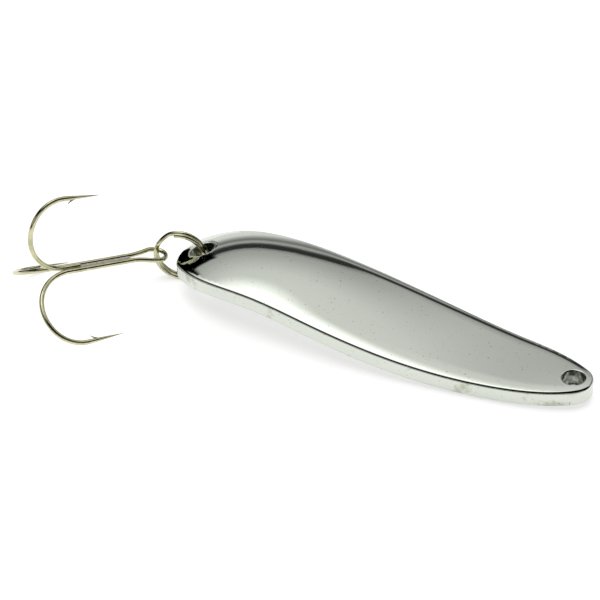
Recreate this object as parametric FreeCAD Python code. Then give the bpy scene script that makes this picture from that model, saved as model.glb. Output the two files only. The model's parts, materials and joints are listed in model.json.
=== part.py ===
"""Casting spoon lure: a thick S-curved metal blade, a split ring and a treble hook.

Millimetres. +Z is up from the surface that the lure lies on, +X runs along the blade
towards the line-tie end, and the origin is on the surface, below the middle of the
lure's bounding box.
"""
import math
import os

import FreeCAD
import Part

Vector = FreeCAD.Vector
Rotation = FreeCAD.Rotation

# ---- blade -------------------------------------------------------------------------
BLADE_LENGTH = 80.5
TAIL_RADIUS = 7.2            # rounded hook end
NOSE_RADIUS = 4.0            # rounded line-tie end
TAIL_ARC_HALF_ANGLE = 60.0
NOSE_ARC_HALF_ANGLE = 65.0
END_ARC_STEPS = 6            # outline points along each rounded end, less one
TOP_EDGE_RADIUS = 0.6
BOTTOM_EDGE_RADIUS = 0.45
# half width of the blade between its two rounded ends: distance from the tail, half width
SIDE_STATIONS = ((8.0, 8.35), (18.0, 9.75), (34.0, 10.45), (50.0, 9.75), (64.0, 7.85), (73.0, 5.9))
# upper face along the blade: distance from the tail, height of the middle, crown (1 / radius)
FACE_STATIONS = (
    (-5.0, 3.2, 0.030),
    (0.0, 6.0, 0.032),
    (7.0, 8.75, 0.033),
    (16.0, 10.0, 0.033),
    (24.0, 9.6, 0.031),
    (32.0, 8.08, 0.0235),
    (40.0, 6.32, 0.0151),
    (48.0, 4.77, 0.0085),
    (56.0, 3.71, 0.0037),
    (64.0, 3.34, 0.002),
    (72.0, 3.6, 0.0042),
    (80.5, 4.1, 0.012),
    (86.0, 4.57, 0.012),
)
# underside, likewise; it is hollower than the upper face, so that the edges are 3 mm thick
UNDERSIDE_STATIONS = (
    (-5.0, 0.2, 0.030),
    (0.0, 3.0, 0.032),
    (7.0, 5.75, 0.033),
    (16.0, 7.0, 0.033),
    (24.0, 6.6, 0.031),
    (32.0, 5.0, 0.022),
    (40.0, 3.1, 0.011),
    (48.0, 1.45, 0.002),
    (56.0, 0.35, -0.005),
    (64.0, 0.0, -0.009),
    (72.0, 0.35, -0.009),
    (80.5, 0.95, -0.008),
    (86.0, 1.45, -0.008),
)
FACE_HALF_SPAN = 13.0        # the faces are drawn wider than the blade, then trimmed to its outline
TRIM_BOTTOM = -5.0           # heights that the outline and the holes are cut between
TRIM_TOP = 20.0

# ---- holes through the blade, square to the surface it lies on --------------------------
TAIL_HOLE_X = 4.5
TAIL_HOLE_RADIUS = 2.3
LINE_TIE_X = 77.05
LINE_TIE_RADIUS = 2.0
HOLE_RIM_RADIUS = 0.25

# ---- split ring --------------------------------------------------------------------
RING_WIRE_RADIUS = 0.42
RING_RADIUS = 4.7            # to the middle of the wire
RING_CENTRE_X = -0.1
RING_CENTRE_Y = -0.25
RING_YAW = 17.0              # turn of the ring's plane away from the blade's length
COIL_PITCH = 0.86            # from one coil to the next
COIL_START = 100.0           # free end of the near coil, from the ring's right, over the top
COIL_END_OVERLAP = 55.0      # how far the far coil's free end stops past that
CROSSOVER_START = 150.0      # the wire crosses from the near coil to the far coil
CROSSOVER_END = 112.0
RING_POINTS = 77

# ---- treble hook, drawn with its shank along +X and the ring's wire at its origin -----
HOOK_WIRE_RADIUS = 0.46
LEG_OFFSET = 0.875           # the double wire's legs lie this far each side of the shank's middle
LEG_DROP = 0.1
SINGLE_RISE = 0.2            # the single wire lies in the groove between the legs
EYE_RADIUS = 2.05
EYE_CENTRE_X = 0.45
EYE_CENTRE_Y = 0.3
EYE_ARC_HALF_ANGLE = 105.0
SHANK_START = 5.5            # the eye has closed to the straight legs here
BEND_START = 18.4
FAR_LEG_SHORTER = 2.2        # the double wire's far hook bends this much nearer to the eye
BEND_RADIUS = 7.8
BEND_ANGLE = 115.3
THROAT_RADIUS = 5.6
THROAT_ANGLE = 67.6
POINT_LENGTH = 7.2
POINT_TIP_RADIUS = 0.05
BARB_LENGTH = 1.5
BARB_HEIGHT = 0.85
BARB_THICKNESS = 0.34
BARB_TIP_SETBACK = 0.15      # the barb's free tip and its heel, along the point from its start
BARB_HEEL = 0.45
BARB_ROOT_DEPTH = 0.45       # how far its root and heel sit in the wire, in wire radii
BARB_HEEL_DEPTH = 0.3
HOOK_SPREAD = 30.0           # the double wire's hooks point this far below level
SINGLE_START = 15.8
BRAZE_END = 15.6
BRAZE_HALF_WIDTH = 0.75
BRAZE_BOTTOM = -0.42
BRAZE_TOP = 0.18
TREBLE_YAW = 59.7            # turn of the shank away from the blade's length, towards the near side
TREBLE_PITCH = 11.7          # rise of the shank towards its bend
TREBLE_ROLL = 1.3            # lift of the near hook about the shank

RING_CENTRE = Vector(RING_CENTRE_X, RING_CENTRE_Y, RING_RADIUS + RING_WIRE_RADIUS)


def direction(degrees):
    """Unit vector in the XY plane."""
    angle = math.radians(degrees)
    return Vector(math.cos(angle), math.sin(angle), 0)


def spline(points, start_tangent, end_tangent):
    """Smooth curve through the points with given end directions."""
    curve = Part.BSplineCurve()
    curve.interpolate(Points=points, InitialTangent=start_tangent, FinalTangent=end_tangent)
    return curve


def arc(centre, radius, start, end, across, along):
    """Arc in the plane of two unit vectors; angles in degrees from `along` towards `across`."""
    points = []
    for angle in (start, (start + end) / 2, end):
        turn = math.radians(angle)
        points.append(centre + along * (radius * math.cos(turn)) + across * (radius * math.sin(turn)))
    return Part.Arc(*points)


# ---- blade -------------------------------------------------------------------------
def round_end(centre, radius, first, last):
    """Points along one rounded end, angles in degrees from +X."""
    turn = (last - first) / END_ARC_STEPS
    return [centre + direction(first + turn * k) * radius for k in range(END_ARC_STEPS + 1)]


def blade_outline():
    """Plan outline as one closed smooth curve: two round ends and two long sides."""
    tail_centre = Vector(TAIL_RADIUS, 0, 0)
    nose_centre = Vector(BLADE_LENGTH - NOSE_RADIUS, 0, 0)
    tail_half = TAIL_ARC_HALF_ANGLE
    nose_half = NOSE_ARC_HALF_ANGLE
    near = [Vector(x, -half_width, 0) for x, half_width in SIDE_STATIONS]
    far = [Vector(x, half_width, 0) for x, half_width in reversed(SIDE_STATIONS)]
    points = near
    points += round_end(nose_centre, NOSE_RADIUS, -nose_half, nose_half)
    points += far
    points += round_end(tail_centre, TAIL_RADIUS, 180 - tail_half, 180 + tail_half)
    curve = Part.BSplineCurve()
    curve.interpolate(Points=points, PeriodicFlag=True)
    return Part.Wire(curve.toShape())


def face_surface(stations):
    """One face of the blade: a hump at the tail that runs down to a flatter nose."""
    grid = []
    for x, middle, crown in stations:
        row = []
        for step in (-1.0, -0.5, 0.0, 0.5, 1.0):
            y = step * FACE_HALF_SPAN
            row.append(Vector(x, y, middle - crown * y * y / 2))
        grid.append(row)
    surface = Part.BSplineSurface()
    surface.interpolate(grid)
    return surface


def closed_edges(solid):
    """Edges that close on themselves, lowest first."""
    loops = [edge for edge in solid.Edges if edge.isClosed()]
    return sorted(loops, key=lambda edge: edge.CenterOfMass.z)


def rim_edges(solid, hole_x, radius):
    """Curved edges at the two ends of a hole."""
    rims = []
    for edge in solid.Edges:
        first, last = edge.ParameterRange
        samples = [edge.valueAt(first + (last - first) * k / 4) for k in range(5)]
        on_wall = all(abs(math.hypot(p.x - hole_x, p.y) - radius) < 0.01 for p in samples)
        if on_wall and edge.Length > radius and not isinstance(edge.Curve, Part.Line):
            rims.append(edge)
    return rims


def spoon_blade():
    height = TRIM_TOP - TRIM_BOTTOM
    below_face = face_surface(FACE_STATIONS).toShape().extrude(Vector(0, 0, -height))
    below_underside = face_surface(UNDERSIDE_STATIONS).toShape().extrude(Vector(0, 0, -height))
    outline = Part.Face(blade_outline())
    outline.translate(Vector(0, 0, TRIM_BOTTOM))
    blank = outline.extrude(Vector(0, 0, height)).common(below_face).cut(below_underside).Solids[0]
    blank = blank.makeFillet(TOP_EDGE_RADIUS, closed_edges(blank)[-1:])
    blank = blank.makeFillet(BOTTOM_EDGE_RADIUS, closed_edges(blank)[:1])
    for hole_x, radius in ((TAIL_HOLE_X, TAIL_HOLE_RADIUS), (LINE_TIE_X, LINE_TIE_RADIUS)):
        blank = blank.cut(Part.makeCylinder(radius, height, Vector(hole_x, 0, TRIM_BOTTOM)))
        blank = blank.makeFillet(HOLE_RIM_RADIUS, rim_edges(blank, hole_x, radius))
    return blank.Solids[0]


# ---- swept wire --------------------------------------------------------------------
def swept_wire(path, radius):
    """Round wire along a path, with flat ends."""
    first = path.OrderedEdges[0]
    start = path.OrderedVertexes[0].Point
    begin, end = first.ParameterRange
    at = begin if (first.valueAt(begin) - start).Length < 1e-6 else end
    tangent = first.tangentAt(at)
    section = Part.Wire(Part.makeCircle(radius, start, tangent))
    return path.makePipeShell([section], True, False)


# ---- split ring --------------------------------------------------------------------
def coil_offset(angle):
    """Sideways place of the wire, in coil pitches, after `angle` degrees of winding."""
    crossing_from = COIL_START + 360 - CROSSOVER_START
    crossing_to = COIL_START + 360 - CROSSOVER_END
    share = (angle - crossing_from) / (crossing_to - crossing_from)
    share = min(max(share, 0.0), 1.0)
    return share * share * (3 - 2 * share) - 0.5


def split_ring():
    """Two coils of wire side by side, wound from the near coil's free end."""
    along = direction(RING_YAW)
    away = direction(RING_YAW + 90)
    total = 720 - COIL_END_OVERLAP
    steps = RING_POINTS - 1
    points = []
    for k in range(steps + 1):
        wound = total * k / steps
        angle = math.radians(COIL_START - wound)
        point = RING_CENTRE + along * (RING_RADIUS * math.cos(angle))
        point += Vector(0, 0, RING_RADIUS * math.sin(angle))
        points.append(point + away * (COIL_PITCH * coil_offset(wound)))
    curve = Part.BSplineCurve()
    curve.interpolate(points)
    return swept_wire(Part.Wire(curve.toShape()), RING_WIRE_RADIUS)


# ---- treble hook -------------------------------------------------------------------
def bend_edges(leg, outward):
    """Edges of one hook from the end of its leg, in the plane of +X and `outward`.

    Returns the edges, the place where the point starts to taper, and its direction.
    """
    x_axis = Vector(1, 0, 0)
    centre = leg + outward * BEND_RADIUS
    bend = arc(centre, BEND_RADIUS, -90, BEND_ANGLE - 90, outward, x_axis)
    turn = math.radians(BEND_ANGLE - 90)
    spoke = x_axis * math.cos(turn) + outward * math.sin(turn)
    centre = centre + spoke * (BEND_RADIUS - THROAT_RADIUS)
    stop = BEND_ANGLE - 90 + THROAT_ANGLE
    throat = arc(centre, THROAT_RADIUS, BEND_ANGLE - 90, stop, outward, x_axis)
    turn = math.radians(stop)
    spoke = x_axis * math.cos(turn) + outward * math.sin(turn)
    heading = x_axis * (-math.sin(turn)) + outward * math.cos(turn)
    return [bend.toShape(), throat.toShape()], centre + spoke * THROAT_RADIUS, heading


def hook_point(start, heading, outward):
    """Tapered point with its barb, which stands up from the side that faces the shank."""
    taper = Part.makeCone(HOOK_WIRE_RADIUS, POINT_TIP_RADIUS, POINT_LENGTH, start, heading)
    inward = outward * -1
    inward = (inward - heading * inward.dot(heading)).normalize()
    across = heading.cross(inward)
    corners = (
        start + heading * BARB_LENGTH + inward * (HOOK_WIRE_RADIUS * BARB_ROOT_DEPTH),
        start + heading * BARB_TIP_SETBACK + inward * (HOOK_WIRE_RADIUS + BARB_HEIGHT),
        start + heading * BARB_HEEL + inward * (HOOK_WIRE_RADIUS * BARB_HEEL_DEPTH),
    )
    shift = across * (-BARB_THICKNESS / 2)
    corners = [corner + shift for corner in corners]
    wedge = Part.Face(Part.makePolygon(corners + corners[:1])).extrude(across * BARB_THICKNESS)
    return taper.fuse(wedge)


def double_hook_wire():
    """One wire: point, bend, shank, eye, shank, bend and point."""
    z_axis = Vector(0, 0, 1)
    eye_centre = Vector(EYE_CENTRE_X, EYE_CENTRE_Y, -LEG_DROP)
    half = EYE_ARC_HALF_ANGLE
    eye = arc(eye_centre, EYE_RADIUS, 180 - half, 180 + half, Vector(0, 1, 0), Vector(1, 0, 0))
    edges = [eye.toShape()]
    points = []
    for side in (1, -1):
        leaving_at = 180 - side * half
        eye_end = eye_centre + direction(leaving_at) * EYE_RADIUS
        leg_start = Vector(SHANK_START, side * LEG_OFFSET, -LEG_DROP)
        bend_x = BEND_START if side > 0 else BEND_START - FAR_LEG_SHORTER
        leg_end = Vector(bend_x, side * LEG_OFFSET, -LEG_DROP)
        leaving = direction(leaving_at - side * 90)
        edges.append(spline([eye_end, leg_start], leaving, Vector(1, 0, 0)).toShape())
        edges.append(Part.makeLine(leg_start, leg_end))
        outward = Rotation(Vector(1, 0, 0), side * -HOOK_SPREAD).multVec(Vector(0, side, 0))
        bend, start, heading = bend_edges(leg_end, outward)
        edges.extend(bend)
        points.append(hook_point(start, heading, outward))
    wire = swept_wire(Part.Wire(Part.__sortEdges__(edges)), HOOK_WIRE_RADIUS)
    for point in points:
        wire = wire.fuse(point)
    return wire.removeSplitter().Solids[0]


def single_hook_wire():
    """The third hook: a short shank brazed between the legs of the double wire."""
    outward = Vector(0, 0, 1)
    leg_start = Vector(SINGLE_START, 0, SINGLE_RISE)
    leg_end = Vector(BEND_START, 0, SINGLE_RISE)
    bend, start, heading = bend_edges(leg_end, outward)
    path = Part.Wire([Part.makeLine(leg_start, leg_end)] + bend)
    wire = swept_wire(path, HOOK_WIRE_RADIUS).fuse(hook_point(start, heading, outward))
    return wire.removeSplitter().Solids[0]


def braze_fill(wires):
    """Filler metal in the groove between the legs, from the eye to the single wire."""
    length = BRAZE_END - SHANK_START
    height = BRAZE_TOP - BRAZE_BOTTOM
    corner = Vector(SHANK_START, -BRAZE_HALF_WIDTH, BRAZE_BOTTOM)
    bar = Part.makeBox(length, 2 * BRAZE_HALF_WIDTH, height, corner)
    for wire in wires:
        bar = bar.cut(wire)
    return max(bar.Solids, key=lambda solid: solid.Volume)


def treble_placement():
    """Where the treble rests: its eye on the ring, its shank yawed, rising and slightly rolled."""
    roll = Rotation(Vector(1, 0, 0), TREBLE_ROLL)
    rise = Rotation(Vector(0, 1, 0), -TREBLE_PITCH)
    turn = Rotation(Vector(0, 0, 1), 180 + TREBLE_YAW)
    pivot = RING_CENTRE - direction(RING_YAW) * RING_RADIUS
    return FreeCAD.Placement(pivot, turn.multiply(rise).multiply(roll))


# ---- the whole lure ----------------------------------------------------------------
def build():
    """Every piece by name, with the blade's tail tip on the YZ plane."""
    double_wire = double_hook_wire()
    single_wire = single_hook_wire()
    treble = {
        "double_hook_wire": double_wire,
        "single_hook_wire": single_wire,
        "braze_fill": braze_fill((double_wire, single_wire)),
    }
    pieces = {"spoon_blade": spoon_blade(), "split_ring": split_ring()}
    for name, shape in treble.items():
        pieces[name] = shape.transformed(treble_placement().toMatrix())
    return pieces


def footprint_shift(pieces):
    """Move that puts the middle of the footprint at the origin."""
    box = FreeCAD.BoundBox()
    for shape in pieces.values():
        box.add(shape.optimalBoundingBox())
    return Vector(-box.Center.x, -box.Center.y, 0)


def main():
    os.makedirs("parts", exist_ok=True)
    pieces = build()
    shift = footprint_shift(pieces)
    for name, shape in pieces.items():
        shape.translate(shift)
        shape.exportStep(os.path.join("parts", name + ".step"))


main()
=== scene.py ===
"""Spoon lure: a chrome-plated casting spoon with its split ring and treble hook."""

import json
import math

import bpy
import numpy as np
from mathutils import Matrix, Quaternion, Vector
from mathutils.geometry import delaunay_2d_cdt


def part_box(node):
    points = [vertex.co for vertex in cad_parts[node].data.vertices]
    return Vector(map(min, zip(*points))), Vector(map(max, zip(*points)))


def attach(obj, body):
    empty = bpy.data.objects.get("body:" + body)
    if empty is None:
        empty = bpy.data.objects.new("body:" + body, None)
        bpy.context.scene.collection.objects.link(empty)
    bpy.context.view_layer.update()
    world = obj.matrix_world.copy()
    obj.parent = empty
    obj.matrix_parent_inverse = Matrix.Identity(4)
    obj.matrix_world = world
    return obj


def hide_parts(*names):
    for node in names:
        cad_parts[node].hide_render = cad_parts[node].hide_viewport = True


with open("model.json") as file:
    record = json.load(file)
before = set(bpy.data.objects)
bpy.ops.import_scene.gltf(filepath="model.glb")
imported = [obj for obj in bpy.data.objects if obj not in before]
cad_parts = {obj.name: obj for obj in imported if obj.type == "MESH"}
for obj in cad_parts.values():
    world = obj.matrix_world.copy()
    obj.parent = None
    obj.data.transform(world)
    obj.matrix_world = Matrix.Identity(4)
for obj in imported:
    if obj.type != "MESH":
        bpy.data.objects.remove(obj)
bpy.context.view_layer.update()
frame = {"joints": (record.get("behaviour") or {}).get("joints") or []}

MM = 0.001

# ---- what the finish takes off, which keeps each piece inside its own box ----------------
WIRE_POLISH = 0.008                       # off the radius of every wire, in millimetres
BLADE_POLISH = 0.0005                     # off the blade's width, as a share of it

# ---- blade, in millimetres from the tip of its tail --------------------------------
BLADE_LENGTH = 80.5
BLADE_HALF_SPAN = 12.0                    # a little more than half of the blade's width
TAIL_RADIUS = 7.2
NOSE_RADIUS = 4.0
TAIL_ARC_HALF_ANGLE = 60.0
NOSE_ARC_HALF_ANGLE = 65.0
END_ARC_STEPS = 6                         # outline points along each rounded end, less one
TOP_EDGE_RADIUS = 0.6
BOTTOM_EDGE_RADIUS = 0.45
# half width between the two rounded ends: distance from the tail, half width
SIDE_STATIONS = ((8.0, 8.35), (18.0, 9.75), (34.0, 10.45), (50.0, 9.75), (64.0, 7.85), (73.0, 5.9))
# upper face: distance from the tail, height of the middle, crown (1 / radius)
FACE_STATIONS = (
    (-5.0, 3.2, 0.030),
    (0.0, 6.0, 0.032),
    (7.0, 8.75, 0.033),
    (16.0, 10.0, 0.033),
    (24.0, 9.6, 0.031),
    (32.0, 8.08, 0.0235),
    (40.0, 6.32, 0.0151),
    (48.0, 4.77, 0.0085),
    (56.0, 3.71, 0.0037),
    (64.0, 3.34, 0.002),
    (72.0, 3.6, 0.0042),
    (80.5, 4.1, 0.012),
    (86.0, 4.57, 0.012),
)
# underside, likewise
UNDERSIDE_STATIONS = (
    (-5.0, 0.2, 0.030),
    (0.0, 3.0, 0.032),
    (7.0, 5.75, 0.033),
    (16.0, 7.0, 0.033),
    (24.0, 6.6, 0.031),
    (32.0, 5.0, 0.022),
    (40.0, 3.1, 0.011),
    (48.0, 1.45, 0.002),
    (56.0, 0.35, -0.005),
    (64.0, 0.0, -0.009),
    (72.0, 0.35, -0.009),
    (80.5, 0.95, -0.008),
    (86.0, 1.45, -0.008),
)
HOLES = ((4.5, 2.3), (77.05, 2.0))       # distance from the tail, radius
HOLE_RIM_RADIUS = 0.25
# shoulder that polishing leaves: distance from the tail, slope at the outline, width
SHOULDER_STATIONS = (
    (-5.0, 0.0, 2.5),
    (22.0, 0.0, 2.5),
    (32.0, 0.12, 2.8),
    (42.0, 0.22, 3.2),
    (62.0, 0.26, 3.0),
    (72.0, 0.28, 2.2),
    (81.0, 0.30, 1.5),
)
SHOULDER_LIFT = 0.8                       # share of the shoulder's drop that raises the face
OUTLINE_POINTS = 440
HOLE_POINTS = 72
FACE_GRID = 0.5                           # spacing of the points inside the face
EDGE_STEPS = 8
WALL_STEPS = 8

# ---- split ring, in millimetres ----------------------------------------------------
RING_WIRE_RADIUS = 0.42
RING_RADIUS = 4.7
RING_YAW = 17.0
COIL_PITCH = 0.86
COIL_START = 100.0
COIL_END_OVERLAP = 55.0
CROSSOVER_START = 150.0
CROSSOVER_END = 112.0

# ---- treble hook, in millimetres from the ring's wire, shank along +X ------------------
HOOK_WIRE_RADIUS = 0.46
LEG_OFFSET = 0.875
LEG_DROP = 0.1
SINGLE_RISE = 0.2
EYE_RADIUS = 2.05
EYE_CENTRE = (0.45, 0.3)
EYE_ARC_HALF_ANGLE = 105.0
SHANK_START = 5.5
BEND_START = 18.4
FAR_LEG_SHORTER = 2.2
BEND_RADIUS = 7.8
BEND_ANGLE = 115.3
THROAT_RADIUS = 5.6
THROAT_ANGLE = 67.6
POINT_LENGTH = 7.2
POINT_TIP_RADIUS = 0.035
HOOK_SPREAD = 30.0                        # the double wire's hooks point this far below level
BARB_LENGTH = 1.2
BARB_HEIGHT = 0.7
BARB_SETBACK = 0.75                       # from the point's start to the barb's free tip
BARB_ROOT_BEYOND = 0.15                   # the root lies this much further than the barb's length
BARB_ROOT_DEPTH = 0.3                     # where the root sits in the wire, in wire radii
BARB_SAG = 0.12
BARB_WIDTHS = (0.03, 0.28)                # half width at the free tip, and what the root adds
BARB_DEPTHS = (0.015, 0.16)               # half thickness, likewise
SCAR_LEAD = 0.9                           # the cut starts this far before the barb's free tip
SCAR_DEPTH = 0.17
SCAR_OFF_LINE = 0.3                       # sections further than this from a point aren't cut
SINGLE_START = 15.8
BRAZE_END = 15.6
BRAZE_OVERRUN = 0.1                       # past both of its ends
BRAZE_TUCK = 0.13                         # its edges reach this far into the legs' round sides
BRAZE_LEVELS = ((0.20, 1), (0.30, -1))    # above and below the legs' middle
BRAZE_HOLLOW = 0.16
BRAZE_LUMPS = 0.018
BRAZE_LUMP_EVERY = 5                      # sections from one lump to the next
BRAZE_SEED = 11
TREBLE_YAW = 59.7
TREBLE_PITCH = 11.7
TREBLE_ROLL = 1.3

# ---- studio ------------------------------------------------------------------------
TENT_AZIMUTH = 29.0                       # the tent's far side lies opposite this
# far wall of the light tent: upward part of the direction, grey
TENT_PROFILE = (
    (0.00, 0.95),
    (0.10, 0.90),
    (0.16, 0.52),
    (0.20, 0.30),
    (0.235, 0.22),
    (0.27, 0.46),
    (0.30, 0.48),
    (0.33, 0.12),
    (0.36, 0.04),
    (0.415, 0.04),
    (0.44, 0.34),
    (0.48, 0.50),
    (0.55, 0.56),
    (0.65, 0.70),
    (0.75, 0.86),
    (0.85, 0.92),
    (1.00, 0.92),
)
GLOW_DIRECTION = (-0.300, -0.030, 0.953)
GLOW_STRENGTH = 1.1
GLOW_EDGE = (0.86, 0.985)                 # each edge is a soft step between two such parts
LEFT_LOW_EDGE = (-0.30, -0.26)            # left of this the far wall is dark below LEFT_LOW_TOP
LEFT_LOW_TOP = (0.46, 0.50)
LEFT_EDGE = (-0.44, -0.41)                # left of this it is dark all the way up
NEAR_EDGE = (0.02, 0.10)
LOW_BOX_STRENGTH = 0.5
LOW_BOX_BOTTOM = (0.08, 0.18)
LOW_BOX_TOP = (0.50, 0.40)
LOW_BOX_NEAR = (-0.40, -0.62)
LOW_BOX_LEFT = (-0.70, -0.82)
LAMP_POWER = 15.0
LAMP_SIZE = 1.6                           # metres, as is its place
LAMP_PLACE = (-0.1, 0.1, 1.1)
FLOOR_SIZE = 4.0
FLOOR_GLOW = 0.62                         # light of the floor's own, which keeps the shadows pale

# ---- camera ------------------------------------------------------------------------
CAMERA_AIM = (-4.17, 13.11, 0.0)          # on the floor, in millimetres
CAMERA_DISTANCE = 375.5
CAMERA_AZIMUTH = 29.02
CAMERA_ELEVATION = 37.21
CAMERA_ROLL = -1.71
CAMERA_LENS = 123.7
CAMERA_SENSOR = 36.0


# ---- curves ------------------------------------------------------------------------
class SmoothCurve:
    """Cubic spline through values at rising places."""

    def __init__(self, places, values):
        self.places = np.array(places, float)
        self.values = np.array(values, float)
        gaps = np.diff(self.places)
        count = len(self.places)
        matrix = np.eye(count)
        target = np.zeros(count)
        rise = np.diff(self.values) / gaps
        for k in range(1, count - 1):
            matrix[k, k - 1:k + 2] = gaps[k - 1], 2 * (gaps[k - 1] + gaps[k]), gaps[k]
            target[k] = 6 * (rise[k] - rise[k - 1])
        self.gaps = gaps
        self.bends = np.linalg.solve(matrix, target)

    def _span(self, place):
        k = np.clip(np.searchsorted(self.places, place) - 1, 0, len(self.gaps) - 1)
        gap = self.gaps[k]
        after = (place - self.places[k]) / gap
        return k, gap, 1 - after, after

    def at(self, place):
        k, gap, before, after = self._span(place)
        line = before * self.values[k] + after * self.values[k + 1]
        curve = (before**3 - before) * self.bends[k] + (after**3 - after) * self.bends[k + 1]
        return line + curve * gap * gap / 6

    def slope(self, place):
        k, gap, before, after = self._span(place)
        line = (self.values[k + 1] - self.values[k]) / gap
        curve = (3 * after**2 - 1) * self.bends[k + 1] - (3 * before**2 - 1) * self.bends[k]
        return line + curve * gap / 6


def closed_curve(points, count):
    """Evenly spaced points, and unit tangents, on the smooth closed curve through some points."""
    points = np.array(points, float)
    total = len(points)
    gaps = np.linalg.norm(np.roll(points, -1, 0) - points, axis=1)
    rise = (np.roll(points, -1, 0) - points) / gaps[:, None]
    matrix = np.zeros((total, total))
    for k in range(total):
        matrix[k, k - 1] += gaps[k - 1]
        matrix[k, k] += 2 * (gaps[k - 1] + gaps[k])
        matrix[k, (k + 1) % total] += gaps[k]
    bends = np.linalg.solve(matrix, 6 * (rise - np.roll(rise, 1, 0)))
    fine = []
    for k in range(total):
        after = np.linspace(0, 1, 60, endpoint=False)[:, None]
        before = 1 - after
        j = (k + 1) % total
        line = before * points[k] + after * points[j]
        curve = (before**3 - before) * bends[k] + (after**3 - after) * bends[j]
        fine.append(line + curve * gaps[k] ** 2 / 6)
    fine = np.concatenate(fine)
    steps = np.linalg.norm(np.roll(fine, -1, 0) - fine, axis=1)
    run = np.concatenate([[0], np.cumsum(steps)])
    looped = np.vstack([fine, fine[:1]])
    wanted = np.linspace(0, run[-1], count, endpoint=False)
    even = np.stack([np.interp(wanted, run, looped[:, k]) for k in range(2)], 1)
    tangents = np.roll(even, -1, 0) - np.roll(even, 1, 0)
    return even, tangents / np.linalg.norm(tangents, axis=1)[:, None]


def turn(degrees):
    angle = math.radians(degrees)
    return np.array([math.cos(angle), math.sin(angle)])


# ---- mesh helpers ------------------------------------------------------------------
def make_object(name, verts, faces, material, normals=None, sharp=None):
    """Mesh object from points in millimetres."""
    mesh = bpy.data.meshes.new(name)
    mesh.from_pydata([tuple(v) for v in np.asarray(verts) * MM], [], [tuple(f) for f in faces])
    mesh.validate()
    mesh.shade_smooth()
    if sharp is not None:
        mesh.set_sharp_from_angle(angle=math.radians(sharp))
    if normals is not None:
        mesh.normals_split_custom_set_from_vertices([tuple(n) for n in normals])
    mesh.materials.append(material)
    piece = bpy.data.objects.new(name, mesh)
    bpy.context.scene.collection.objects.link(piece)
    return piece


def loop_faces(first, second, count):
    """Quads between two closed loops of vertices, given by their first indices."""
    faces = []
    for k in range(count):
        after = (k + 1) % count
        faces.append((first + k, second + k, second + after, first + after))
    return faces


# ---- blade -------------------------------------------------------------------------
class Face:
    """Crowned face: its height and slope over the blade's plan."""

    def __init__(self, stations):
        x, middle, crown = zip(*stations)
        self.middle = SmoothCurve(x, middle)
        self.crown = SmoothCurve(x, crown)

    def height(self, x, y):
        return self.middle.at(x) - self.crown.at(x) * y * y / 2

    def slope(self, x, y):
        along = self.middle.slope(x) - self.crown.slope(x) * y * y / 2
        return along, -self.crown.at(x) * y


UPPER = Face(FACE_STATIONS)
UNDER = Face(UNDERSIDE_STATIONS)


def polished_height(x, y):
    """Height of the upper face, with the shoulder that polishing leaves along its outline."""
    points = np.column_stack([x, y])
    nearest = [int(np.argmin(np.sum((OUTLINE - point) ** 2, 1))) for point in points]
    inset = np.maximum(np.sum((OUTLINE[nearest] - points) * OUTWARD[nearest], 1), 0)
    slope = np.interp(x, SHOULDER_X, SHOULDER_SLOPE)
    width = np.interp(x, SHOULDER_X, SHOULDER_WIDTH)
    drop = slope * width / 2
    return UPPER.height(x, y) + drop * SHOULDER_LIFT - drop * np.maximum(1 - inset / width, 0) ** 2


def polished_slope(x, y):
    """Slope of the upper face along and across the blade, by small differences."""
    step = 0.05
    along = (polished_height(x + step, y) - polished_height(x - step, y)) / (2 * step)
    across = (polished_height(x, y + step) - polished_height(x, y - step)) / (2 * step)
    return along, across


def round_end(centre_x, radius, first, last):
    """Outline points along one rounded end, between two angles."""
    angles = [first + (last - first) * k / END_ARC_STEPS for k in range(END_ARC_STEPS + 1)]
    return [np.array([centre_x, 0.0]) + turn(angle) * radius for angle in angles]


def smooth_stations(values):
    """Shoulder figures at every half millimetre, eased between their stations."""
    curve = SmoothCurve([x for x, *_ in SHOULDER_STATIONS], values)
    return np.maximum(curve.at(SHOULDER_X), 0)


def blade_outline():
    """Outline points, counter-clockwise from above, and their outward directions."""
    nose_x = BLADE_LENGTH - NOSE_RADIUS
    points = [(x, -half) for x, half in SIDE_STATIONS]
    points += round_end(nose_x, NOSE_RADIUS, -NOSE_ARC_HALF_ANGLE, NOSE_ARC_HALF_ANGLE)
    points += [(x, half) for x, half in reversed(SIDE_STATIONS)]
    points += round_end(TAIL_RADIUS, TAIL_RADIUS, 180 - TAIL_ARC_HALF_ANGLE, 180 + TAIL_ARC_HALF_ANGLE)
    even, tangents = closed_curve(points, OUTLINE_POINTS)
    return even, np.stack([tangents[:, 1], -tangents[:, 0]], 1)


SHOULDER_X = np.arange(-6, 90, 0.5)
SHOULDER_SLOPE = smooth_stations([slope for _, slope, _ in SHOULDER_STATIONS])
SHOULDER_WIDTH = smooth_stations([width for _, _, width in SHOULDER_STATIONS])
OUTLINE, OUTWARD = blade_outline()


def hole_outline(centre_x, radius):
    """Points round a hole, clockwise from above, and directions into the hole."""
    angles = -np.linspace(0, 2 * math.pi, HOLE_POINTS, endpoint=False)
    spokes = np.stack([np.cos(angles), np.sin(angles)], 1)
    return spokes * radius + np.array([centre_x, 0]), -spokes


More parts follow.
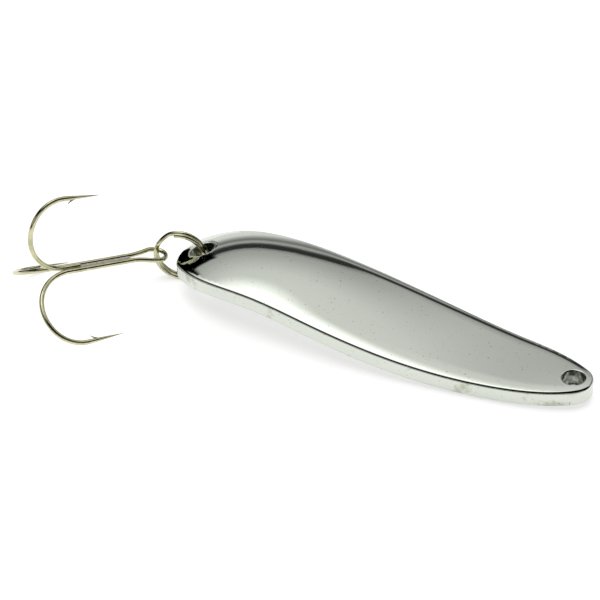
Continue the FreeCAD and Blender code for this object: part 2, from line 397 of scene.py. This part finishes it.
def edge_loops(points, outward, top_radius, bottom_radius):
    """Loops of points and normals over a rounded top edge, down the wall and round below."""
    probe = points - outward * top_radius
    slope_x, slope_y = polished_slope(probe[:, 0], probe[:, 1])
    grade = slope_x * outward[:, 0] + slope_y * outward[:, 1]
    top_lean = np.arctan(grade)
    height = polished_height(probe[:, 0], probe[:, 1]) + grade * top_radius
    top_z = height - top_radius * (grade + np.sqrt(1 + grade * grade))
    slope_x, slope_y = UNDER.slope(points[:, 0], points[:, 1])
    grade = slope_x * outward[:, 0] + slope_y * outward[:, 1]
    low_lean = np.arctan(grade)
    low_z = UNDER.height(points[:, 0], points[:, 1])
    low_z = low_z - bottom_radius * (grade - np.sqrt(1 + grade * grade))
    loops = []

    def add(out, z, angle):
        place = points + outward * out[:, None]
        normal = np.stack([outward[:, 0] * np.cos(angle), outward[:, 1] * np.cos(angle), np.sin(angle)], 1)
        loops.append((np.column_stack([place, z]), normal))

    for k in range(EDGE_STEPS + 1):
        angle = (math.pi / 2 + top_lean) * (1 - k / EDGE_STEPS)
        add(top_radius * (np.cos(angle) - 1), top_z + top_radius * np.sin(angle), angle)
    level = np.zeros(len(points))
    for k in range(1, WALL_STEPS):
        share = k / WALL_STEPS
        add(level, top_z * (1 - share) + low_z * share, level)
    for k in range(EDGE_STEPS + 1):
        angle = (low_lean - math.pi / 2) * k / EDGE_STEPS
        add(bottom_radius * (np.cos(angle) - 1), low_z + bottom_radius * np.sin(angle), angle)
    return loops


def inside(points, loop):
    """Which points lie inside a closed loop."""
    x, y = points[:, 0][:, None], points[:, 1][:, None]
    x1, y1 = loop[:, 0], loop[:, 1]
    x2, y2 = np.roll(x1, -1), np.roll(y1, -1)
    crosses = (y1 > y) != (y2 > y)
    with np.errstate(divide="ignore", invalid="ignore"):
        at = (x2 - x1) * (y - y1) / (y2 - y1) + x1
    return (crosses & (x < at)).sum(1) % 2 == 1


def face_grid():
    """Staggered rows of points over the blade's plan."""
    rows = []
    pitch = FACE_GRID * math.sqrt(3) / 2
    for k, x in enumerate(np.arange(0, BLADE_LENGTH, pitch)):
        y = np.arange(-BLADE_HALF_SPAN, BLADE_HALF_SPAN, FACE_GRID) + (FACE_GRID / 2 if k % 2 else 0)
        rows.append(np.column_stack([np.full(len(y), x), y]))
    return np.concatenate(rows)


def fill_face(loops):
    """Triangles over the face between its outline and its holes.

    Returns the inner grid points and the triangles; indices run over the loops, then the grid.
    """
    grid = face_grid()
    grid = grid[inside(grid, loops[0])]
    for hole in loops[1:]:
        grid = grid[~inside(grid, hole)]
    edge = np.concatenate(loops)
    gap = np.array([np.min(np.sum((edge - point) ** 2, 1)) for point in grid])
    grid = grid[gap > (0.5 * FACE_GRID) ** 2]
    links = []
    start = 0
    for loop in loops:
        count = len(loop)
        links += [(start + k, start + (k + 1) % count) for k in range(count)]
        start += count
    every = np.concatenate([edge, grid])
    found = delaunay_2d_cdt([Vector(p) for p in every], links, [], 0, 1e-6)
    triangles = np.array(found[2])
    middles = every[triangles].mean(1)
    keep = inside(middles, loops[0])
    for hole in loops[1:]:
        keep &= ~inside(middles, hole)
    return grid, triangles[keep]


def blade_mesh():
    """Points, normals and faces of the blade, with the tip of its tail at x = 0."""
    edges = [edge_loops(OUTLINE, OUTWARD, TOP_EDGE_RADIUS, BOTTOM_EDGE_RADIUS)]
    for centre_x, radius in HOLES:
        edges.append(edge_loops(*hole_outline(centre_x, radius), HOLE_RIM_RADIUS, HOLE_RIM_RADIUS))
    verts, normals, faces = [], [], []
    total = 0
    starts = []
    for loops in edges:
        count = len(loops[0][0])
        starts.append((total, total + count * (len(loops) - 1), count))
        for k, (places, directions) in enumerate(loops):
            verts.append(places)
            normals.append(directions)
            if k:
                faces += loop_faces(total - count, total, count)
            total += count
    for side in (0, 1):
        rims = [loops[-side][0][:, :2] for loops in edges]
        grid, triangles = fill_face(rims)
        numbers = np.concatenate([np.arange(start[side], start[side] + start[2]) for start in starts])
        numbers = np.concatenate([numbers, np.arange(total, total + len(grid))])
        x, y = grid[:, 0], grid[:, 1]
        slope_x, slope_y = UNDER.slope(x, y) if side else polished_slope(x, y)
        height = UNDER.height(x, y) if side else polished_height(x, y)
        up = np.column_stack([-slope_x, -slope_y, np.ones(len(grid))])
        up /= np.linalg.norm(up, axis=1)[:, None]
        verts.append(np.column_stack([grid, height]))
        normals.append(-up if side else up)
        triangles = numbers[triangles]
        faces += [tuple(t[::-1]) if side else tuple(t) for t in triangles.tolist()]
        total += len(grid)
    return np.concatenate(verts), np.concatenate(normals), faces


# ---- wires -------------------------------------------------------------------------
def carried_frames(path):
    """Tangents and sideways directions along a path, carried along without twist."""
    tangents = np.gradient(path, axis=0)
    tangents /= np.linalg.norm(tangents, axis=1)[:, None]
    start = np.cross(tangents[0], [0.31, 0.17, 0.93])
    side = start / np.linalg.norm(start)
    sides = [side]
    for tangent in tangents[1:]:
        side = side - tangent * np.dot(side, tangent)
        side = side / np.linalg.norm(side)
        sides.append(side)
    sides = np.array(sides)
    return tangents, sides, np.cross(tangents, sides)


def rounded_ends(path, radii, rounding):
    """Adds short steps at both ends of a wire, so that its cut edges are rounded."""
    first = path[0] - path[1]
    last = path[-1] - path[-2]
    first /= np.linalg.norm(first)
    last /= np.linalg.norm(last)
    steps = [(math.sin(a), math.cos(a)) for a in np.linspace(0.25, math.pi / 2, 5)]
    head = [path[0] + first * rounding * s for s, c in reversed(steps)]
    tail = [path[-1] + last * rounding * s for s, c in steps]
    head_radii = [radii[0] - rounding * (1 - c) for s, c in reversed(steps)]
    tail_radii = [radii[-1] - rounding * (1 - c) for s, c in steps]
    return np.vstack([head, path, tail]), np.concatenate([head_radii, radii, tail_radii])


def wire_mesh(path, radii, sides=28, rounding=0.08, shape=None):
    """Round wire along a path; `shape` may move the points of each section."""
    path, radii = rounded_ends(np.asarray(path), np.asarray(radii), rounding)
    _, across, up = carried_frames(path)
    angles = np.linspace(0, 2 * math.pi, sides, endpoint=False)
    verts = []
    for place, radius, one, two in zip(path, radii - WIRE_POLISH, across, up):
        ring = place + radius * (np.outer(np.cos(angles), one) + np.outer(np.sin(angles), two))
        verts.append(ring if shape is None else shape(place, ring))
    faces = []
    for k in range(len(path) - 1):
        faces += loop_faces((k + 1) * sides, k * sides, sides)
    verts = np.concatenate(verts)
    last = (len(path) - 1) * sides
    faces.append(tuple(reversed(range(sides))))
    faces.append(tuple(last + k for k in range(sides)))
    return verts, faces


# ---- split ring --------------------------------------------------------------------
def coil_offset(wound):
    """Sideways place of the ring's wire, in pitches, after so many degrees of winding."""
    crossing_from = COIL_START + 360 - CROSSOVER_START
    crossing_to = COIL_START + 360 - CROSSOVER_END
    share = min(max((wound - crossing_from) / (crossing_to - crossing_from), 0.0), 1.0)
    return share * share * (3 - 2 * share) - 0.5


def ring_path(centre):
    """Middle of the ring's wire: nearly two coils, with a crossing from one to the other."""
    along = np.append(turn(RING_YAW), 0)
    away = np.append(turn(RING_YAW + 90), 0)
    points = []
    for wound in np.linspace(0, 720 - COIL_END_OVERLAP, 520):
        angle = math.radians(COIL_START - wound)
        point = centre + along * RING_RADIUS * math.cos(angle)
        point[2] += RING_RADIUS * math.sin(angle)
        points.append(point + away * COIL_PITCH * coil_offset(wound))
    return np.array(points)


# ---- treble hook -------------------------------------------------------------------
def arc_points(centre, radius, first, last, along, across, step=3.0):
    """Points on an arc in the plane of two directions, between two angles in degrees."""
    count = max(2, int(abs(last - first) / step) + 1)
    angles = np.radians(np.linspace(first, last, count))
    return centre + radius * (np.outer(np.cos(angles), along) + np.outer(np.sin(angles), across))


def easing(start, leaving, end, arriving, count=24):
    """Smooth path between two places with given directions at its ends."""
    length = np.linalg.norm(end - start)
    share = np.linspace(0, 1, count)[:, None]
    path = (2 * share**3 - 3 * share**2 + 1) * start + (3 * share**2 - 2 * share**3) * end
    path += (share**3 - 2 * share**2 + share) * length * leaving
    path += (share**3 - share**2) * length * arriving
    return path


def bend_path(leg_end, outward):
    """One hook from the end of its leg to its tip: path and the heading of its point."""
    along = np.array([1.0, 0, 0])
    centre = leg_end + outward * BEND_RADIUS
    parts = [arc_points(centre, BEND_RADIUS, -90, BEND_ANGLE - 90, along, outward)]
    spoke = turn(BEND_ANGLE - 90)
    centre = centre + (along * spoke[0] + outward * spoke[1]) * (BEND_RADIUS - THROAT_RADIUS)
    stop = BEND_ANGLE - 90 + THROAT_ANGLE
    parts.append(arc_points(centre, THROAT_RADIUS, BEND_ANGLE - 90, stop, along, outward)[1:])
    heading = along * -math.sin(math.radians(stop)) + outward * math.cos(math.radians(stop))
    start = parts[-1][-1]
    reach = np.linspace(0, POINT_LENGTH, 40)[1:]
    parts.append(start + np.outer(reach, heading))
    return np.concatenate(parts), start, heading


def tapered(path, points):
    """Radius along a wire whose ends run out to sharp points."""
    radii = np.full(len(path), HOOK_WIRE_RADIUS)
    for start, heading in points:
        reach = (path - start) @ heading
        near = np.linalg.norm(path - start - np.outer(reach, heading), axis=1) < 0.02
        share = np.clip(reach / POINT_LENGTH, 0, 1)
        taper = HOOK_WIRE_RADIUS + (POINT_TIP_RADIUS - HOOK_WIRE_RADIUS) * share**1.15
        radii = np.where(near & (reach > 0), taper, radii)
    return radii


def barb_mesh(start, heading, outward):
    """Sliver of wire that is cut and lifted on the shank side of the point."""
    inward = -outward + heading * np.dot(outward, heading)
    inward /= np.linalg.norm(inward)
    across = np.cross(heading, inward)
    root = start + heading * (BARB_SETBACK + BARB_LENGTH + BARB_ROOT_BEYOND)
    root = root + inward * HOOK_WIRE_RADIUS * BARB_ROOT_DEPTH
    tip = start + heading * BARB_SETBACK + inward * (HOOK_WIRE_RADIUS + BARB_HEIGHT)
    flat = (tip - root) / np.linalg.norm(tip - root)
    rise = np.cross(flat, across)
    verts = []
    sections = 9
    sides = 12
    for k in range(sections):
        share = k / (sections - 1)
        middle = root + (tip - root) * share - inward * BARB_SAG * math.sin(math.pi * share)
        width = BARB_WIDTHS[1] * (1 - share) ** 0.6 + BARB_WIDTHS[0]
        depth = BARB_DEPTHS[1] * (1 - share) ** 0.8 + BARB_DEPTHS[0]
        for j in range(sides):
            spin = turn(360 * j / sides)
            verts.append(middle + across * width * spin[0] + rise * depth * spin[1])
    faces = []
    for k in range(sections - 1):
        faces += loop_faces(k * sides, (k + 1) * sides, sides)
    faces.append(tuple(range(sides)))
    faces.append(tuple(reversed(range((sections - 1) * sides, sections * sides))))
    return np.array(verts), faces


def cut_scar(points):
    """Flattens the shank side of each point where the barb was cut out of it."""
    def shape(place, ring):
        for start, heading, outward in points:
            reach = np.dot(place - start, heading)
            off_line = np.linalg.norm(place - start - heading * reach)
            reach -= BARB_SETBACK
            if off_line > SCAR_OFF_LINE or not -SCAR_LEAD < reach < BARB_LENGTH:
                continue
            share = (reach + SCAR_LEAD) / (BARB_LENGTH + SCAR_LEAD)
            depth = SCAR_DEPTH * math.sin(math.pi * share ** 1.5)
            inward = -outward + heading * np.dot(outward, heading)
            inward /= np.linalg.norm(inward)
            height = (ring - place) @ inward
            extra = np.maximum(height - (HOOK_WIRE_RADIUS - depth), 0)
            ring = ring - np.outer(extra, inward)
        return ring
    return shape


def outward_of(side):
    """Direction in which a hook of the double wire opens: down and to one side."""
    angle = math.radians(HOOK_SPREAD)
    return np.array([0, side * math.cos(angle), -math.sin(angle)])


def double_wire_mesh():
    """Point, bend, leg, eye, leg, bend and point in one wire."""
    eye_centre = np.array([*EYE_CENTRE, -LEG_DROP])
    along, across = np.array([1.0, 0, 0]), np.array([0, 1.0, 0])
    half = EYE_ARC_HALF_ANGLE
    eye = arc_points(eye_centre, EYE_RADIUS, 180 - half, 180 + half, along, across)
    branches, points = [], []
    for side in (1, -1):
        leg_start = np.array([SHANK_START, side * LEG_OFFSET, -LEG_DROP])
        bend_x = BEND_START if side > 0 else BEND_START - FAR_LEG_SHORTER
        leg_end = np.array([bend_x, side * LEG_OFFSET, -LEG_DROP])
        eye_end = eye[0] if side > 0 else eye[-1]
        leaving = np.append(turn(180 - side * half - side * 90), 0)
        leg = easing(eye_end, leaving, leg_start, along)
        shank = leg_start + np.outer(np.linspace(0, 1, 40)[1:], leg_end - leg_start)
        outward = outward_of(side)
        bend, start, heading = bend_path(leg_end, outward)
        branches.append(np.concatenate([leg[1:], shank, bend[1:]]))
        points.append((start, heading, outward))
    path = np.concatenate([branches[0][::-1], eye, branches[1]])
    radii = tapered(path, [(start, heading) for start, heading, _ in points])
    parts = [wire_mesh(path, radii, rounding=0.03, shape=cut_scar(points))]
    parts += [barb_mesh(*point) for point in points]
    return parts


def single_wire_mesh():
    """The third hook with its short shank."""
    leg_start = np.array([SINGLE_START, 0, SINGLE_RISE])
    leg_end = np.array([BEND_START, 0, SINGLE_RISE])
    outward = np.array([0, 0, 1.0])
    bend, start, heading = bend_path(leg_end, outward)
    shank = leg_start + np.outer(np.linspace(0, 1, 14), leg_end - leg_start)
    path = np.concatenate([shank, bend[1:]])
    radii = tapered(path, [(start, heading)])
    wire = wire_mesh(path, radii, rounding=0.03, shape=cut_scar([(start, heading, outward)]))
    return [wire, barb_mesh(start, heading, outward)]


def braze_mesh():
    """Filler between the legs: a strip with a hollowed, slightly lumpy top and rounded ends."""
    length_steps, width_steps = 90, 14
    inner = LEG_OFFSET - HOOK_WIRE_RADIUS
    rng = np.random.default_rng(BRAZE_SEED)
    lumps = rng.normal(0, 1, length_steps // BRAZE_LUMP_EVERY + 3)
    lump_line = np.interp(np.arange(length_steps), np.arange(len(lumps)) * BRAZE_LUMP_EVERY, lumps)
    verts = []
    for k in range(length_steps):
        share = k / (length_steps - 1)
        x = SHANK_START - BRAZE_OVERRUN + (BRAZE_END - SHANK_START + 2 * BRAZE_OVERRUN) * share
        end = min(1.0, min(share, 1 - share) * 26)
        swell = math.sqrt(max(end * (2 - end), 0.0))
        for level, sign in BRAZE_LEVELS:
            for j in range(width_steps + 1):
                v = (2 * j / width_steps - 1) * sign
                y = v * (inner + BRAZE_TUCK)
                hollow = BRAZE_HOLLOW * (1 - v * v)
                lump = BRAZE_LUMPS * lump_line[k] * (1 - v * v)
                z = -LEG_DROP + sign * (level * (0.35 + 0.65 * swell) - hollow * 0.8 + lump)
                verts.append((x, y * (0.25 + 0.75 * swell), z))
    ring = 2 * (width_steps + 1)
    faces = []
    for k in range(length_steps - 1):
        faces += loop_faces(k * ring, (k + 1) * ring, ring)
    faces.append(tuple(range(ring)))
    faces.append(tuple(reversed(range((length_steps - 1) * ring, length_steps * ring))))
    return [(np.array(verts), faces)]


def joined(parts):
    """Several meshes as one."""
    verts, faces, total = [], [], 0
    for points, polygons in parts:
        verts.append(points)
        faces += [tuple(total + k for k in polygon) for polygon in polygons]
        total += len(points)
    return np.concatenate(verts), faces


# ---- materials ---------------------------------------------------------------------
class Nodes:
    """Short way to build a node tree."""

    def __init__(self, owner, shader, coordinates):
        owner.use_nodes = True
        self.tree = owner.node_tree
        self.shader = self.tree.nodes[shader]
        self.place = self.add("ShaderNodeTexCoord").outputs[coordinates]

    def add(self, kind, inputs=None, **settings):
        node = self.tree.nodes.new(kind)
        for key, value in settings.items():
            setattr(node, key, value)
        for key, value in (inputs or {}).items():
            if isinstance(value, bpy.types.NodeSocket):
                self.tree.links.new(value, node.inputs[key])
            else:
                node.inputs[key].default_value = value
        return node

    def link(self, value, key):
        self.tree.links.new(value, self.shader.inputs[key])

    def noise(self, scale, detail=3.0, roughness=0.5):
        inputs = {"Vector": self.place, "Scale": scale, "Detail": detail, "Roughness": roughness}
        return self.add("ShaderNodeTexNoise", inputs).outputs["Fac"]

    def ramp(self, value, stops):
        """Colour ramp from (position, grey or colour) stops."""
        node = self.add("ShaderNodeValToRGB", {"Fac": value})
        elements = node.color_ramp.elements
        while len(elements) < len(stops):
            elements.new(0.5)
        for element, (position, colour) in zip(elements, stops):
            element.position = position
            colour = colour if isinstance(colour, tuple) else (colour,) * 3
            element.color = (*colour, 1)
        return node.outputs["Color"]

    def math(self, operation, first, second=0.0):
        return self.add("ShaderNodeMath", {0: first, 1: second}, operation=operation).outputs[0]

    def dot(self, direction):
        """How far the place reaches along a direction."""
        inputs = {0: self.place, 1: direction}
        return self.add("ShaderNodeVectorMath", inputs, operation="DOT_PRODUCT").outputs["Value"]

    def rise(self, value, low, high):
        """Smooth step from 0 to 1 between two values."""
        inputs = {"Value": value, "From Min": low, "From Max": high}
        return self.add("ShaderNodeMapRange", inputs, interpolation_type="SMOOTHSTEP").outputs[0]

    def mix(self, amount, first, second):
        """Colour mix, whose sockets go by number: 0 the amount, 6 and 7 the colours."""
        node = self.add("ShaderNodeMix", data_type="RGBA")
        for key, value in ((0, amount), (6, first), (7, second)):
            if isinstance(value, bpy.types.NodeSocket):
                self.tree.links.new(value, node.inputs[key])
            else:
                node.inputs[key].default_value = (*value, 1) if isinstance(value, tuple) else value
        return node.outputs[2]

    def bump(self, height, distance, before=None):
        inputs = {"Height": height, "Distance": distance}
        if before is not None:
            inputs["Normal"] = before
        return self.add("ShaderNodeBump", inputs).outputs["Normal"]


def surface(name):
    """New material's nodes."""
    material = bpy.data.materials.new(name)
    return material, Nodes(material, "Principled BSDF", "Object")


def chrome_material(tail_x, middle_y):
    """Mirror chrome over a cast blade: fine pits, a rougher and stained side wall, and the holes' walls
    painted dark and mottled as shade.
    """
    material, m = surface("mirror_chrome")
    m.shader.inputs["Metallic"].default_value = 1.0
    normal = m.add("ShaderNodeTexCoord").outputs["Normal"]
    upright = m.math("ABSOLUTE", m.add("ShaderNodeSeparateXYZ", {0: normal}).outputs["Z"])
    wall = m.ramp(upright, [(0.25, 1.0), (0.75, 0.0)])
    # Painted shade: a mask over the walls of the two holes, where their inside is coloured dark.
    hole_shade_mask = None
    for hole_x, radius in HOLES:
        centre = (tail_x + hole_x * MM, middle_y, 0)
        flat = m.add("ShaderNodeVectorMath", {0: m.place, 1: (1, 1, 0)}, operation="MULTIPLY").outputs[0]
        inputs = {0: flat, 1: centre}
        away = m.add("ShaderNodeVectorMath", inputs, operation="DISTANCE").outputs["Value"]
        near = m.rise(away, (radius + HOLE_RIM_RADIUS + 0.5) * MM, (radius + HOLE_RIM_RADIUS) * MM)
        hole_shade_mask = near if hole_shade_mask is None else m.math("MAXIMUM", hole_shade_mask, near)
    hole_shade_mask = m.math("MULTIPLY", hole_shade_mask, m.ramp(upright, [(0.3, 1.0), (0.6, 0.0)]))
    pits = m.ramp(m.noise(2600, 2.0), [(0.27, 1.0), (0.31, 0.0)])
    patches = m.ramp(m.noise(260, 4.0, 0.6), [(0.56, 0.0), (0.66, 1.0)])
    stain = m.math("MULTIPLY", m.math("MULTIPLY", patches, wall), 0.55)
    clean = m.mix(m.noise(70, 3.0), (0.60, 0.63, 0.57), (0.64, 0.67, 0.61))
    colour = m.mix(stain, clean, (0.30, 0.30, 0.20))
    colour = m.mix(m.math("MULTIPLY", pits, 0.7), colour, (0.08, 0.08, 0.07))
    # Painted shade inside the holes: dark, mottled colour that the mask lays over their walls.
    hole_shade_mottle = m.ramp(m.noise(900, 4.0, 0.6), [(0.40, (0.03, 0.04, 0.035)), (0.62, (0.34, 0.35, 0.30))])
    m.link(m.mix(hole_shade_mask, colour, hole_shade_mottle), "Base Color")
    smear = m.ramp(m.noise(120, 4.0, 0.65), [(0.35, 0.018), (0.7, 0.05)])
    rough = m.math("ADD", smear, m.math("MULTIPLY", wall, 0.13))
    rough = m.math("ADD", rough, m.math("MULTIPLY", pits, 0.3))
    m.link(rough, "Roughness")
    ripple = m.bump(m.noise(45, 2.0), 0.00006)
    grain = m.bump(m.noise(900, 4.0, 0.6), 0.000004, before=ripple)
    cast = m.math("MULTIPLY", m.noise(650, 4.0, 0.6), wall)
    m.link(m.bump(cast, 0.00005, before=grain), "Normal")
    return material


def nickel_material(name, light, dark, base_roughness):
    """Bright nickel plate with a warm cast, drawing marks and duller patches."""
    material, m = surface(name)
    m.shader.inputs["Metallic"].default_value = 1.0
    colour = m.mix(m.ramp(m.noise(420, 4.0, 0.6), [(0.35, 0.0), (0.7, 1.0)]), light, dark)
    specks = m.ramp(m.noise(3000, 2.0), [(0.30, 1.0), (0.36, 0.0)])
    colour = m.mix(m.math("MULTIPLY", specks, 0.5), colour, (0.10, 0.09, 0.06))
    m.link(colour, "Base Color")
    dull = m.ramp(m.noise(700, 4.0, 0.6), [(0.3, base_roughness), (0.75, base_roughness + 0.09)])
    m.link(dull, "Roughness")
    m.link(m.bump(m.noise(1800, 4.0, 0.6), 0.000012), "Normal")
    return material


def braze_material():
    """Greyish filler metal with a grainy, slightly pinkish surface."""
    material, m = surface("braze_grey")
    m.shader.inputs["Metallic"].default_value = 0.85
    colour = m.mix(m.noise(1500, 4.0, 0.7), (0.34, 0.33, 0.29), (0.62, 0.58, 0.53))
    flecks = m.ramp(m.noise(2400, 2.0), [(0.66, 0.0), (0.70, 1.0)])
    m.link(m.mix(flecks, colour, (0.85, 0.84, 0.80)), "Base Color")
    m.link(m.ramp(m.noise(1300, 3.0), [(0.3, 0.32), (0.7, 0.5)]), "Roughness")
    m.link(m.bump(m.noise(1900, 4.0, 0.7), 0.00004), "Normal")
    return material


def floor_material():
    """Plain pale floor with a faint grain."""
    material, m = surface("white_floor")
    grain = m.noise(60, 3.0)
    m.link(m.mix(grain, (0.44, 0.44, 0.44), (0.46, 0.46, 0.46)), "Base Color")
    m.shader.inputs["Roughness"].default_value = 0.9
    m.shader.inputs["Emission Color"].default_value = (1.0, 1.0, 1.0, 1.0)
    m.shader.inputs["Emission Strength"].default_value = FLOOR_GLOW
    return material


# ---- pieces ------------------------------------------------------------------------
def joint_place(name):
    """A joint's place in millimetres."""
    joint = next(j for j in frame["joints"] if j["name"] == name)
    return np.array(joint["pos_m"]) / MM


def add_piece(node, body, slot, verts, faces, material, normals=None, sharp=None):
    """Visible piece that moves with a body and stands for one node of the frame."""
    piece = make_object(node + "_finish", verts, faces, material, normals, sharp)
    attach(piece, body)
    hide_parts(node)


def add_blade():
    low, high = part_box("spoon_blade")
    verts, normals, faces = blade_mesh()
    verts[:, 1] *= 1 - BLADE_POLISH
    verts[:, 2] = np.maximum(verts[:, 2], 0)
    verts = verts + np.array([low.x, (low.y + high.y) / 2, 0]) / np.array([MM, MM, 1])
    material = chrome_material(low.x, (low.y + high.y) / 2)
    add_piece("spoon_blade", "blade", "blade_chrome", verts, faces, material, normals)


def add_ring(pivot):
    centre = pivot + np.append(turn(RING_YAW), 0) * RING_RADIUS
    path = ring_path(centre)
    verts, faces = wire_mesh(path, np.full(len(path), RING_WIRE_RADIUS), rounding=0.06)
    material = nickel_material("ring_plate", (0.66, 0.64, 0.45), (0.44, 0.43, 0.26), 0.035)
    add_piece("split_ring", "ring", "ring_nickel", verts, faces, material, sharp=50)


def treble_place(pivot):
    """Matrix that brings the treble from its own axes to where it rests."""
    turned = Matrix.Rotation(math.radians(180 + TREBLE_YAW), 4, "Z")
    raised = Matrix.Rotation(math.radians(-TREBLE_PITCH), 4, "Y")
    rolled = Matrix.Rotation(math.radians(TREBLE_ROLL), 4, "X")
    return np.array(Matrix.Translation(Vector(pivot)) @ turned @ raised @ rolled)


def add_treble(pivot):
    place = treble_place(pivot)
    plate = nickel_material("hook_plate", (0.64, 0.62, 0.42), (0.44, 0.43, 0.26), 0.04)
    filler = braze_material()
    for node, slot, parts, material in (
        ("double_hook_wire", "hook_nickel", double_wire_mesh(), plate),
        ("single_hook_wire", "hook_nickel", single_wire_mesh(), plate),
        ("braze_fill", "braze_metal", braze_mesh(), filler),
    ):
        verts, faces = joined(parts)
        verts = verts @ place[:3, :3].T + place[:3, 3]
        add_piece(node, "treble", slot, verts, faces, material, sharp=50)


# ---- studio ------------------------------------------------------------------------
def add_floor():
    bpy.ops.mesh.primitive_plane_add(size=FLOOR_SIZE, location=(0, 0, 0))
    floor = bpy.context.object
    floor.name = "floor"
    floor.data.materials.append(floor_material())


def add_lamp():
    """Wide soft lamp overhead; it lights the floor and leaves the chrome to the surround."""
    lamp = bpy.data.lights.new("overhead", "AREA")
    lamp.shape = "DISK"
    lamp.size = LAMP_SIZE
    lamp.energy = LAMP_POWER
    light = bpy.data.objects.new("overhead", lamp)
    light.location = LAMP_PLACE
    light.rotation_euler = Vector(LAMP_PLACE).to_track_quat("Z", "Y").to_euler()
    light.visible_glossy = False
    bpy.context.scene.collection.objects.link(light)


def add_world():
    """Light tent: bright far half with a dark gap, dark near and left sides with low soft boxes."""
    world = bpy.data.worlds.new("studio")
    bpy.context.scene.world = world
    m = Nodes(world, "Background", "Generated")
    azimuth = math.radians(TENT_AZIMUTH)
    far = m.dot((-math.sin(azimuth), math.cos(azimuth), 0))
    right = m.dot((math.cos(azimuth), math.sin(azimuth), 0))
    level = m.dot((0, 0, 1))
    wall = m.ramp(level, TENT_PROFILE)
    open_left = m.math("MAXIMUM", m.rise(right, *LEFT_LOW_EDGE), m.rise(level, *LEFT_LOW_TOP))
    wall = m.math("MULTIPLY", wall, open_left)
    wall = m.math("MULTIPLY", wall, m.rise(right, *LEFT_EDGE))
    wall = m.math("MULTIPLY", wall, m.rise(far, *NEAR_EDGE))
    glow = m.math("MULTIPLY", m.rise(m.dot(GLOW_DIRECTION), *GLOW_EDGE), GLOW_STRENGTH)
    low_box = m.math("MULTIPLY", m.rise(level, *LOW_BOX_BOTTOM), m.rise(level, *LOW_BOX_TOP))
    aside = m.math("MAXIMUM", m.rise(far, *LOW_BOX_NEAR), m.rise(right, *LOW_BOX_LEFT))
    low_box = m.math("MULTIPLY", m.math("MULTIPLY", low_box, aside), LOW_BOX_STRENGTH)
    light = m.math("ADD", m.math("ADD", wall, glow), low_box)
    m.tree.links.new(light, m.shader.inputs["Color"])


def add_camera():
    azimuth = math.radians(CAMERA_AZIMUTH)
    elevation = math.radians(CAMERA_ELEVATION)
    back = Vector((
        math.sin(azimuth) * math.cos(elevation),
        -math.cos(azimuth) * math.cos(elevation),
        math.sin(elevation),
    ))
    data = bpy.data.cameras.new("camera")
    data.lens = CAMERA_LENS
    data.sensor_width = CAMERA_SENSOR
    data.clip_start = 0.01
    camera = bpy.data.objects.new("camera", data)
    camera.location = (Vector(CAMERA_AIM) + back * CAMERA_DISTANCE) * MM
    look = back.to_track_quat("Z", "Y")
    camera.rotation_mode = "QUATERNION"
    camera.rotation_quaternion = look @ Quaternion((0, 0, 1), math.radians(CAMERA_ROLL))
    bpy.context.scene.collection.objects.link(camera)
    bpy.context.scene.camera = camera


def main():
    pivot = joint_place("treble_swing")
    add_blade()
    add_ring(pivot)
    add_treble(pivot)
    add_floor()
    add_lamp()
    add_world()
    add_camera()
    bpy.context.scene.view_settings.view_transform = "Standard"


main()
